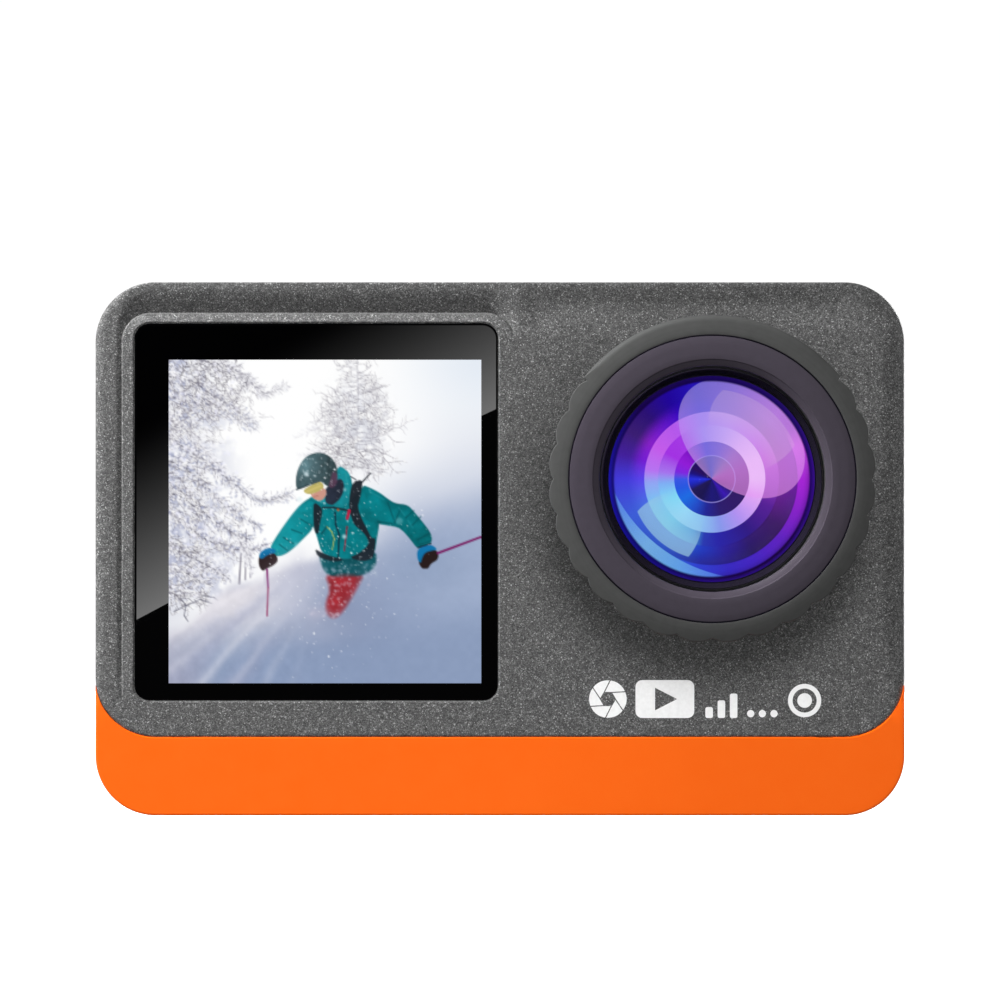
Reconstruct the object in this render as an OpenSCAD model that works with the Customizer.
// Action camera with a square front display, a threaded lens cover and a two-tone housing.
// Millimetres. +X to the right seen from the front, +Y towards the back, +Z up.
// Origin: middle of the overall box, on the face the camera stands on.

/* [Housing] */
// Width of the housing
body_w = 66; // [66:0.5:68]
// Height of the housing
body_h = 43.5; // [43.5:0.5:45]
// Radius of the housing's corners seen from the front
corner_r = 4.9; // [4.4:0.1:5.2]
// Wall thickness
wall = 1.8; // [1.7:0.05:1.9]
// Height of the coloured base cover
base_h = 6.4; // [6.3:0.1:6.5]
// Width of the bevel round the front face
bevel = 1.6; // [1:0.1:2]

/* [Lens] */
// Height of the optical axis above the standing face
lens_z = 27.45; // [27.3:0.05:27.6]
// Crest radius of the scalloped cover ring
ring_r = 13.3; // [13.1:0.05:13.5]
// Radius of the small lobes on the cover ring
lobe_r = 2.5; // [2.2:0.1:2.8]
// Number of lobe pitches in a full turn
lobe_n = 28; // [24:2:32]

/* [Battery] */
// Width of the removable cell
cell_w = 29.4; // [29:0.1:29.4]
// Height of the removable cell
cell_h = 33.7; // [33:0.1:33.7]
// Thickness of the removable cell
cell_t = 9.8; // [9.4:0.1:9.8]

/* [Tripod socket] */
// Wall radius of the quarter-inch tripod thread
tripod_r = 2.55; // [2.5:0.01:2.6]
// Depth of the tripod thread
tripod_len = 5.2; // [5:0.1:5.3]

/* [Hidden] */
$fn = 64;

// main planes, front to back
yf = -8;            // front face
ys = 2.5;           // parting plane of the two shells
yb = 16;            // back face
hw = body_w / 2;
lx = 17.25;         // lens axis, sideways
// removable cell
bx0 = -28.1; bx1 = bx0 + cell_w;
by0 = -3.5;  by1 = by0 + cell_t;
bz0 = 3.0;   bz1 = bz0 + cell_h;
// hinge pins
bpx = 2.9;  bpz = 1.0;     // battery door pin, along Y
ppx = 31.95; ppy = 12.9;   // port door pin, along Z
pin_r = 0.42;
// screws: shell screws run along Y, base screws along Z
shell_screw_at = [[-28.8, 40.1], [28.8, 40.1], [28.8, 10.2]];
base_screw_at = [[-26, -6.4], [26.5, -6.4], [-26, 12.6], [26.5, 12.6]];
// controls on the top
shx = -16; ctl_y = 7.4; pwx = 8; ledx = -5; micx = 20;
// side keys
key_y = 5.8; key_up_z = 27; key_dn_z = 18;

grey = [0.29, 0.29, 0.30];
orange = [0.98, 0.42, 0.09];

// ---------- helpers ----------
module rr(x0, x1, z0, z1, r) {
  translate([x0 + r, z0]) square([x1 - x0 - 2 * r, z1 - z0]);
  translate([x0, z0 + r]) square([x1 - x0, z1 - z0 - 2 * r]);
  for (x = [x0 + r, x1 - r], z = [z0 + r, z1 - r]) translate([x, z]) circle(r);
}
// a shape drawn in X and Z, extruded from y0 to y1
module slab(y0, y1) translate([0, y1, 0]) rotate([90, 0, 0]) linear_extrude(y1 - y0) children();
// a shape drawn in X and Y, extruded from z0 to z1
module plate(z0, z1) translate([0, 0, z0]) linear_extrude(z1 - z0) children();
// a shape drawn in Y and Z, extruded from x0 to x1
module side(x0, x1) translate([x0, 0, 0]) rotate([90, 0, 90]) linear_extrude(x1 - x0) children();
module box(x0, x1, y0, y1, z0, z1) translate([x0, y0, z0]) cube([x1 - x0, y1 - y0, z1 - z0]);
module ycyl(x, z, y0, y1, r) translate([x, y1, z]) rotate([90, 0, 0]) cylinder(h = y1 - y0, r = r);
module zcyl(x, y, z0, z1, r) translate([x, y, z0]) cylinder(h = z1 - z0, r = r);
module xcyl(y, z, x0, x1, r) translate([x0, y, z]) rotate([0, 90, 0]) cylinder(h = x1 - x0, r = r);
// local frame on the optical axis: local Z points out of the front, so local z = -y
module on_axis() translate([lx, 0, lens_z]) rotate([90, 0, 0]) children();

module upper_outline(d = 0) rr(-hw + d, hw - d, base_h + d, body_h - d, corner_r - d);
module full_outline(d = 0) rr(-hw + d, hw - d, d, body_h - d, corner_r - d);

// ---------- housing ----------
module front_shell() color(grey) difference() {
  union() {
    hull() {
      slab(yf, yf + 0.05) rr(-hw + bevel, hw - bevel, base_h + 0.3, body_h - bevel, corner_r - 1.2, $fn = 32);
      slab(yf + 1.1, ys) upper_outline($fn = 32);
    }
    slab(yf, yf + 1.8) rr(-30.8, 1.2, 8.2, 41.05, 2.3);   // raised frame round the front display
  }
  difference() {
    slab(yf + 2, ys + 1) upper_outline(wall);
    for (p = shell_screw_at) ycyl(p[0], p[1], yf + 1, ys + 2, 1.4);
    for (p = [base_screw_at[0], base_screw_at[1]]) zcyl(p[0], p[1], 7, 9.2, 1.5);
  }
  slab(yf - 1, -6.95) rr(-29.87, -0.11, 9.32, 40.2, 1.3);       // display glass pocket
  slab(-7.5, -5.5) rr(-28.75, -0.75, 9.85, 39.35, 0.6);         // display window
  on_axis() { cylinder(h = 20, r = 11.2); translate([0, 0, 7.35]) cylinder(h = 3, r = 13.0); }
  box(bx0 - 1.1, bx1 + 1.1, by0 - 1.1, ys + 1, 5, 8.6);         // battery bay passage
  for (p = shell_screw_at) ycyl(p[0], p[1], -3, ys + 1, 0.7);
  for (p = [base_screw_at[0], base_screw_at[1]]) zcyl(p[0], p[1], 5, 8.9, 0.75);
  slab(ys - 0.35, ys + 1) difference() { upper_outline(0.55); upper_outline(1.25); }
}

module rear_shell() color(grey) difference() {
  union() {
    difference() {
      hull() {
        slab(ys, yb - 1.1) upper_outline($fn = 32);
        slab(yb - 0.05, yb) rr(-hw + 1.1, hw - 1.1, base_h + 0.3, body_h - 1.1, corner_r - 1, $fn = 32);
      }
      difference() {
        slab(ys - 1, 14.2) upper_outline(wall);
        for (p = shell_screw_at) ycyl(p[0], p[1], ys - 2, 15, 1.4);
        for (p = [base_screw_at[2], base_screw_at[3]]) zcyl(p[0], p[1], 7, 10.4, 1.6);
        box(29.9, 31.5, 4.2, 14.4, 11.65, 38.6);               // pad round the port opening
      }
    }
  }
  slab(15.05, yb + 1) rr(-30.45, 30.45, 8.25, 41.95, 2.3);      // rear glass pocket
  slab(13, 15.5) rr(-22.7, 24.7, 9.0, 40.6, 0.6);               // rear display window
  box(bx0 - 1.1, bx1 + 1.1, ys - 1, by1 + 1.1, 5, 8.6);         // battery bay passage
  for (p = shell_screw_at) {
    ycyl(p[0], p[1], ys - 1, 15, 0.85);
    ycyl(p[0], p[1], 14.0, 15.5, 1.15);
  }
  for (p = [base_screw_at[2], base_screw_at[3]]) zcyl(p[0], p[1], 5, 9.6, 0.75);
  slab(ys - 1, ys + 0.35) difference() { upper_outline(0.55); upper_outline(1.25); }
  // controls
  zcyl(shx, ctl_y, 41, 45, 4.0);
  plate(41, 45) translate([pwx, ctl_y]) pill(9.3, 3.7);
  zcyl(ledx, ctl_y, 41, 45, 0.62);
  zcyl(micx, ctl_y, 41, 45, 0.45);
  side(-hw - 1, -hw + 2.5) for (z = [key_up_z, key_dn_z]) translate([key_y, z]) rotate(90) pill(6.3, 3.3);
  // port opening and door recess
  box(29, 33.5, 5.0, 11.8, 13.4, 37.0);
  box(31.4, 34, 4.6, 14.45, 12.05, 38.15);
  zcyl(ppx, ppy, 12.05, 38.15, 1.15);
  zcyl(ppx, ppy, 11.3, 38.9, pin_r + 0.01);
  // speaker slots
  for (i = [0:3]) box(-hw - 1, -hw + 2.5, 10.7, 13.1, 15.6 + 2.2 * i, 16.4 + 2.2 * i);
}
// a flat bar with round ends, long side along the first axis
module pill(l, w) { square([l - w, w], center = true); for (s = [-1, 1]) translate([s * (l - w) / 2, 0]) circle(w / 2); }

module base_cover() color(orange) difference() {
  union() {
    difference() {
      slab(yf, yb) full_outline();
      slab(yf - 1, yb + 1) upper_outline();
      difference() {
        slab(-6.2, 14.2) rr(-31.2, 31.2, wall, 14, 3.1);
        for (p = base_screw_at) zcyl(p[0], p[1], 0, base_h, 2.0);
        zcyl(lx, 4, 0, base_h, 5.6);
      }
    }
  }
  slab(yf - 1, yb + 1) upper_outline();
  box(-30.3, 4.4, -5.6, 8.8, wall, 7);                          // room round the battery bay
  box(-29.75, 4.1, -5.15, 8.35, -1, 2.4);                       // battery door opening
  box(-30.9, -29.0, 0.2, 3.4, 1.1, 2.4);                        // catch for the latch tongue
  ycyl(bpx, bpz, -6.5, 9.7, pin_r + 0.01);
  for (p = base_screw_at) { zcyl(p[0], p[1], -1, 7, 0.9); zcyl(p[0], p[1], -1, 1.5, 1.45); }
  zcyl(lx, 4, -1, 7, 4.2);
}

module shell_gasket() color([0.1, 0.1, 0.1]) slab(ys - 0.3, ys + 0.3) difference() {
  upper_outline(0.6);
  upper_outline(1.2);
  translate([bx0 - 1.3, 5]) square([cell_w + 2.6, 3.2]);       // open where the cell passes
}

// ---------- displays ----------
module front_display_glass() color([0.03, 0.03, 0.03]) slab(-7.92, -7.12) rr(-29.82, -0.16, 9.37, 40.15, 1.25);
module front_display_panel() color([0.8, 0.86, 0.95]) slab(-7.1, -5.7) rr(-28.6, -0.9, 10.0, 39.2, 0.3);
module front_display_backlight() color([0.75, 0.75, 0.75]) difference() {
  slab(-5.68, -4.65) rr(-28.6, -0.9, 10.0, 38.6, 0.3);
  for (s = [-24, -6]) slab(-5.0, -4) translate([s, 24]) square([4, 18], center = true);
}
module front_display_flex() color([0.75, 0.5, 0.15]) union() {
  box(-4, 2.75, -4.64, -4.52, 20, 27);
  box(2.6, 2.75, -4.64, 8.2, 20, 27);
  box(2.75, 5.5, 8.05, 8.2, 20, 27);
  box(4.5, 6.0, 8.2, 8.58, 19.5, 27.5);
}
module rear_display_glass() color([0.03, 0.03, 0.03]) slab(15.1, 15.95) rr(-30.4, 30.4, 8.3, 41.9, 2.25);
module rear_display_panel() color([0.8, 0.86, 0.95]) slab(13.52, 15.07) rr(-22.5, 24.5, 9.2, 40.4, 0.3);
module rear_display_backlight() color([0.75, 0.75, 0.75]) difference() {
  slab(11.9, 13.5) rr(-22.5, 24.5, 9.2, 40.4, 0.3);
  slab(11, 12.3) translate([0, 24.8]) square([30, 20], center = true);
}
module display_adhesive_frames() color([0.12, 0.12, 0.12]) union() {
  slab(-7.11, -6.96) difference() { rr(-29.7, -0.3, 9.5, 40.0, 1.1); rr(-28.7, -0.8, 9.9, 39.3, 0.4); }
  slab(15.06, 15.09) difference() { rr(-30.2, 30.2, 8.5, 41.7, 2.0); rr(-22.8, 24.8, 8.9, 40.7, 0.6);
    for (p = shell_screw_at) translate(p) circle(1.3); }
}

// ---------- lens, on its own axis; local z = distance in front of y = 0 ----------
module lens_collar() color([0.16, 0.16, 0.17]) on_axis() rotate_extrude() polygon([
  [9.25, 5.9], [11.1, 5.9], [11.1, 7.4], [12.9, 7.4], [12.9, 8.2], [11.1, 8.2], [11.1, 12.6], [9.25, 12.6]]);
module lens_barrel() color([0.14, 0.12, 0.15]) on_axis() rotate_extrude() polygon([
  [3.0, -1.5], [6.5, -1.5], [6.5, 2.0], [9.0, 2.0], [9.0, 12.2], [8.95, 12.25], [8.47, 11.4], [8.47, 9.36],
  [5.65, 9.36], [5.65, 6.75], [4.35, 6.75], [4.35, 2.5], [3.65, 2.5], [3.65, -0.9], [3.0, -0.9]]);
module lens_front_element() color([0.35, 0.2, 0.8, 0.6]) on_axis() difference() {
  intersection() { translate([0, 0, -0.69]) sphere(14.09); translate([0, 0, 9.4]) cylinder(h = 5, r = 8.43); }
  translate([0, 0, 3.5]) sphere(8.5);
}
module lens_second_element() color([0.6, 0.3, 0.9, 0.6]) on_axis() difference() {
  intersection() { translate([0, 0, 0.2]) sphere(9); translate([0, 0, 6.78]) cylinder(h = 3, r = 5.6); }
  translate([0, 0, 2.3]) sphere(5.2);
}
module lens_third_element() color([0.3, 0.6, 0.95, 0.6]) on_axis() intersection() {
  translate([0, 0, 3.2]) cylinder(h = 3, r = 4.3);
  translate([0, 0, -3.0]) sphere(8.6);
}
module lens_aperture_stop() color([0.04, 0.04, 0.04]) on_axis() rotate_extrude() polygon([
  [1.95, 2.6], [4.3, 2.6], [4.3, 2.95], [3.0, 2.95], [1.95, 2.8]]);
module lens_rear_element() color([0.5, 0.4, 0.9, 0.6]) on_axis() intersection() {
  translate([0, 0, -0.85]) cylinder(h = 3.2, r = 3.6);
  translate([0, 0, -4.6]) sphere(6.8);
}
module lens_holder() color([0.1, 0.1, 0.1]) on_axis() difference() {
  union() {
    translate([0, 0, -4.4]) cylinder(h = 10.1, r = 9.7);
    translate([-7.6, -7.6, -4.4]) cube([15.2, 15.2, 1.4]);
  }
  translate([0, 0, 1.98]) cylinder(h = 10, r = 9.04);
  translate([0, 0, -1.55]) cylinder(h = 4, r = 6.54);
  translate([-5, -5, -5]) cube([10, 10, 4]);
}
module infrared_filter() color([0.6, 0.9, 0.85, 0.5]) on_axis() translate([-4.95, -4.95, -2.2]) cube([9.9, 9.9, 0.3]);
module image_sensor() color([0.15, 0.2, 0.3]) on_axis() difference() {
  translate([-4.2, -3.8, -4.48]) cube([8.4, 7.6, 1.3]);
  translate([-3.2, -2.6, -3.6]) cube([6.4, 5.2, 1]);
}
module sensor_board() color([0.05, 0.3, 0.15]) difference() {
  on_axis() translate([-9, -9, -5.3]) cube([18, 18, 0.78]);
  on_axis() for (x = [-7.9, 7.9], z = [-7.9, 7.9]) translate([x, z, -6]) cylinder(h = 3, r = 0.6);
}
module sensor_flex() color([0.75, 0.5, 0.15]) union() {
  box(9, 15, 5.33, 5.45, 12, 21);
  box(9, 15, 5.33, 8.2, 11.88, 12);
  box(8.8, 15.2, 7.6, 8.58, 12.0, 14.0);
}
module lens_cradle() color([0.45, 0.46, 0.48]) difference() {
  box(7.7, 26.8, -5.6, 2.85, 9.4, 22);
  on_axis() translate([0, 0, -10]) cylinder(h = 20, r = 9.78);
  box(10, 24.5, -4.4, 1.6, 8, 15.6);
}

// ---------- electronics ----------
module main_board() color([0.05, 0.3, 0.15]) difference() {
  box(-28.8, 29.6, 8.6, 9.6, 9.4, 38.2);
  for (p = shell_screw_at) ycyl(p[0], p[1], 8, 10, 1.7);
}
module processor_shield() color([0.78, 0.78, 0.8]) difference() {
  box(-20, -4, 9.62, 11.4, 15, 31);
  box(-19.7, -4.3, 9.5, 11.1, 15.3, 30.7);
}
module board_chips() color([0.08, 0.08, 0.09]) union() {
  box(-17, -7, 9.62, 10.6, 18, 28);
  box(-0.5, 7.5, 9.62, 10.7, 26, 34);
  box(0, 6, 9.62, 10.6, 14, 20);
  box(9, 12, 9.62, 10.4, 14, 18);
  box(-26.5, -22, 9.62, 10.5, 20, 24.5);
  box(17, 22.5, 7.5, 8.58, 10.5, 15);
  for (i = [0:4]) box(-20 + 3 * i, -18.5 + 3 * i, 9.62, 10.3, 11, 11.9);
}
module key_board() color([0.05, 0.3, 0.15]) box(-23, 24, 4.0, 11.2, 38.6, 39.38);
module card_slot() color([0.8, 0.8, 0.82]) difference() {
  box(13.9, 29.85, 9.62, 11.3, 25.2, 37.0);
  box(14.3, 31, 9.95, 10.95, 25.5, 36.7);
}
module usb_port() color([0.8, 0.8, 0.82]) union() {
  difference() {
    side(23.2, 30.4) translate([7.0, 19.0]) rotate(90) pill(8.94, 3.16);
    side(24.2, 31) translate([7.0, 19.0]) rotate(90) pill(8.34, 2.56);
  }
  box(24.1, 29.4, 6.65, 7.35, 15.7, 22.3);
}
module hdmi_port() color([0.8, 0.8, 0.82]) union() {
  difference() {
    side(23.4, 30.4) polygon([[5.5, 26.6], [6.2, 26.0], [8.58, 26.0], [8.58, 32.5], [6.2, 32.5], [5.5, 31.9]]);
    side(24.4, 31) polygon([[5.8, 26.8], [6.4, 26.3], [8.28, 26.3], [8.28, 32.2], [6.4, 32.2], [5.8, 31.7]]);
  }
  box(24.3, 29.2, 6.8, 7.4, 27.4, 31.1);
}
module battery_bay() color([0.12, 0.12, 0.13]) difference() {
  union() {
    box(bx0 - 1, bx1 + 1, by0 - 1, by1 + 1, 2.1, 38.3);
    box(bx0 - 2.0, bx1 - 1, by0 - 1.9, by1 + 2.3, 2.1, 2.8);
  }
  box(bx0 - 0.2, bx1 + 0.2, by0 - 0.2, by1 + 0.2, 1, 37.5);
  box(-8.05, -0.45, 0.45, 5.05, 36, 39);
}
module battery_contacts() color([0.85, 0.68, 0.3]) union() {
  box(-8, -0.5, 0.5, 5.0, 36.95, 38.3);
  for (i = [0:2]) box(-7.2 + 2.6 * i, -6.0 + 2.6 * i, 1.6, 3.9, 36.74, 36.95);
}
module shutter_switch() color([0.15, 0.15, 0.16]) difference() {
  box(shx - 2.4, shx + 2.4, ctl_y - 2.4, ctl_y + 2.4, 39.4, 40.6);
  zcyl(shx, ctl_y, 39.7, 42, 1.0);
}
module power_switch() color([0.15, 0.15, 0.16]) difference() {
  box(pwx - 2.4, pwx + 2.4, ctl_y - 2.4, ctl_y + 2.4, 39.4, 40.6);
  zcyl(pwx, ctl_y, 39.7, 42, 1.0);
}
module side_switches() color([0.75, 0.5, 0.15]) union() {
  box(-29.75, -29.15, 3.4, 7.2, 14, 31);
  for (z = [key_up_z, key_dn_z]) difference() {
    xcyl(key_y - 0.4, z, -30.3, -29.75, 1.4);
    xcyl(key_y - 0.4, z, -31, -29.76, 0.85);
  }
}
module microphone() color([0.8, 0.68, 0.3]) difference() {
  box(micx - 1.9, micx + 1.9, ctl_y - 1.4, ctl_y + 1.4, 39.4, 40.5);
  zcyl(micx, ctl_y, 40.1, 42, 0.4);
}
module microphone_membrane() color([0.1, 0.1, 0.1]) zcyl(micx, ctl_y, 41.35, 41.68, 1.7);
module speaker() color([0.2, 0.2, 0.2]) difference() {
  box(-30.9, -27.9, 10.0, 13.8, 14, 25);
  side(-31.5, -30.5) translate([11.9, 19.5]) rotate(90) pill(9.4, 2.6);
}
module wireless_antenna() color([0.75, 0.5, 0.15]) union() {
  box(6, 28, -5.2, 1.2, 41.3, 41.5);
  for (i = [0:4]) box(7 + 4 * i, 9.5 + 4 * i, -4.6, 0.6, 41.5, 41.62);
}
module status_light() color([0.9, 0.95, 0.9]) union() {
  zcyl(ledx, ctl_y, 39.9, 43.42, 0.6);
  box(ledx - 0.8, ledx + 0.8, ctl_y - 0.5, ctl_y + 0.5, 39.4, 39.9);
}

// ---------- fixings ----------
module tripod_insert() color([0.8, 0.65, 0.3]) difference() {
  union() { zcyl(lx, 4, 0.2, 6.2, 4.18); }
  zcyl(lx, 4, -1, 0.2 + tripod_len, tripod_r);
}
module screw(l, r, hr, hh) difference() {
  union() { cylinder(h = hh, r = hr); translate([0, 0, hh - 0.01]) cylinder(h = l, r = r); }
  for (a = [0, 90]) rotate(a) translate([-hr * 0.7, -0.16, -1]) cube([hr * 1.4, 0.32, 1 + hh * 0.6]);
}
module base_screws() color([0.75, 0.75, 0.77]) for (p = base_screw_at)
  translate([p[0], p[1], 0.5]) screw(p[1] < 0 ? 7.2 : 8, 0.72, 1.35, 0.98);
module shell_screws() color([0.75, 0.75, 0.77]) for (p = shell_screw_at)
  translate([p[0], 15.0, p[1]]) rotate([90, 0, 0]) screw(15.5, 0.66, 1.1, 0.95);
module battery_door_pin() color([0.75, 0.75, 0.77]) ycyl(bpx, bpz, -6.4, 9.6, pin_r);
module port_door_pin() color([0.75, 0.75, 0.77]) zcyl(ppx, ppy, 11.4, 38.8, pin_r);

// ---------- lens cover, screws on to the collar ----------
module scallops() {
  circle(ring_r - 0.42);
  p = 360 / lobe_n;
  for (i = [0:lobe_n - 9]) rotate(141.6 + p / 2 + p * i) translate([ring_r - lobe_r, 0]) circle(lobe_r);
  intersection() {                                             // plain arc over the top of the ring
    circle(ring_r);
    polygon([[0, 0], [40 * cos(141.6), 40 * sin(141.6)], [0, 60], [40 * cos(38.7), 40 * sin(38.7)]]);
  }
}
module lens_cover_ring() color([0.3, 0.3, 0.3]) on_axis() intersection() {
  translate([0, 0, 8]) linear_extrude(9) scallops();
  rotate_extrude() polygon([[11.2, 8.6], [13.1, 8.6], [13.5, 9.0], [13.5, 15.1], [11.75, 16.0], [11.72, 16.0], [11.72, 14.9],
    [11.4, 14.9], [11.4, 13.9], [9.6, 13.9], [9.6, 13.2], [11.2, 13.2]]);
}
module lens_cover_retainer() color([0.28, 0.25, 0.3]) on_axis() rotate_extrude() polygon([
  [9.12, 14.92], [11.68, 14.92], [11.68, 15.9], [9.8, 15.9], [9.7, 15.8], [9.15, 15.25]]);
module lens_cover_glass() color([0.7, 0.75, 0.9, 0.3]) on_axis() translate([0, 0, 13.92]) cylinder(h = 0.96, r = 11.35);
module lens_cover_seal() color([0.1, 0.1, 0.1]) on_axis() rotate_extrude() translate([10.4, 12.9]) circle(0.28);

// ---------- buttons ----------
module shutter_button() color([0.85, 0.12, 0.1]) union() {
  zcyl(shx, ctl_y, 41.6, 43.42, 3.85);
  zcyl(shx, ctl_y, 41.05, 41.66, 4.35);
  zcyl(shx, ctl_y, 40.5, 41.1, 0.85);
}
module power_button() color([0.2, 0.2, 0.21]) union() {
  plate(41.6, 43.42) translate([pwx, ctl_y]) pill(9.0, 3.4);
  plate(41.05, 41.66) translate([pwx, ctl_y]) pill(9.9, 4.3);
  zcyl(pwx, ctl_y, 40.5, 41.1, 0.85);
}
module side_key(z) union() {
  side(-hw + 0.05, -31.1) translate([key_y, z]) rotate(90) pill(6.0, 3.0);
  side(-31.16, -30.8) translate([key_y, z]) rotate(90) pill(6.9, 3.9);
  xcyl(key_y - 0.4, z, -31, -30.32, 0.7);
}
module up_button() color([0.2, 0.2, 0.21]) side_key(key_up_z);
module down_button() color([0.2, 0.2, 0.21]) side_key(key_dn_z);

// ---------- doors ----------
module battery_door() color(orange) difference() {
  union() {
    slab(-5.0, 8.2) intersection() {
      rr(-hw + 0.05, hw, 0.06, body_h, corner_r);
      translate([-29.6, 0]) square([bpx + 29.6, 1.75]);
    }
    ycyl(bpx, bpz, -5.0, 8.2, 0.94);
    // rim that presses the seal round the cell
    slab(by0 + 0.1, by1 - 0.1) translate([bx0 + 0.4, 1.7]) square([cell_w - 2.2, 0.38]);
  }
  slab(by0 + 1, by1 - 1) translate([bx0 + 1.3, 1.2]) square([cell_w - 4, 2]);
  ycyl(bpx, bpz, -6, 9, pin_r + 0.05);
  box(-27.7, -20.4, -0.9, 4.5, -1, 0.9);                       // latch recess
  box(-30, -20.7, 0.4, 3.2, 1.14, 1.66);                       // tongue slot
  box(-25.6, -21.4, 0.7, 2.9, 0.8, 1.4);                       // neck slot
}
module battery_door_latch() color([0.2, 0.2, 0.21]) union() {
  difference() {
    box(-26.4, -20.6, -0.75, 4.35, 0.12, 0.8);
    for (i = [0:3]) box(-25.6 + 1.2 * i, -25.1 + 1.2 * i, 0, 3.6, -1, 0.35);
  }
  box(-24.3, -21.6, 0.85, 2.75, 0.75, 1.2);
  box(-29.4, -21.0, 0.5, 3.1, 1.18, 1.6);
}
module port_door() color([0.24, 0.24, 0.25]) difference() {
  union() {
    side(31.5, 32.95) rr(4.78, ppy, 12.2, 38.0, 0.3);
    zcyl(ppx, ppy, 12.2, 38.0, 1.0);
    // soft rim that plugs the opening
    side(30.55, 31.6) difference() { rr(5.25, 11.55, 13.65, 36.75, 1.0); rr(5.95, 10.85, 14.35, 36.05, 0.5); }
  }
  zcyl(ppx, ppy, 12, 39, pin_r + 0.05);
  side(32.3, 34) translate([5.9, 25.1]) pill(0.9, 0.8);
  box(32.45, 34, 4, 5.7, 21.5, 28.5);                          // finger notch
}

// ---------- removable pieces ----------
module battery() color([0.12, 0.12, 0.14]) union() {
  difference() {
    slab(by0, by1) rr(bx0, bx1, bz0, bz1, 0.6);
    for (i = [0:2]) box(-7.4 + 2.6 * i, -5.8 + 2.6 * i, 1.3, 4.2, bz1 - 0.2, bz1 + 1);
  }
  box(-17, -11, -1.5, 4.5, 2.35, bz0 + 0.1);                   // folded pull tab
}
module memory_card() color([0.08, 0.08, 0.1]) side_card();
module side_card() translate([0, 10.8, 0]) rotate([90, 0, 0]) linear_extrude(0.7)
  polygon([[15.4, 25.6], [30.4, 25.6], [30.4, 36.6], [21.0, 36.6], [20.2, 35.8], [18.6, 35.8], [17.8, 35.0], [15.4, 35.0]]);

front_shell();
rear_shell();
base_cover();
shell_gasket();
front_display_glass();
front_display_panel();
front_display_backlight();
front_display_flex();
rear_display_glass();
rear_display_panel();
rear_display_backlight();
display_adhesive_frames();
lens_collar();
lens_barrel();
lens_front_element();
lens_second_element();
lens_third_element();
lens_aperture_stop();
lens_rear_element();
lens_holder();
lens_cradle();
infrared_filter();
image_sensor();
sensor_board();
sensor_flex();
main_board();
processor_shield();
board_chips();
key_board();
card_slot();
usb_port();
hdmi_port();
battery_bay();
battery_contacts();
shutter_switch();
power_switch();
side_switches();
microphone();
microphone_membrane();
speaker();
wireless_antenna();
status_light();
tripod_insert();
base_screws();
shell_screws();
battery_door_pin();
port_door_pin();
lens_cover_seal();
lens_cover_ring();
lens_cover_retainer();
lens_cover_glass();
shutter_button();
power_button();
up_button();
down_button();
battery_door();
battery_door_latch();
port_door();
battery();
memory_card();
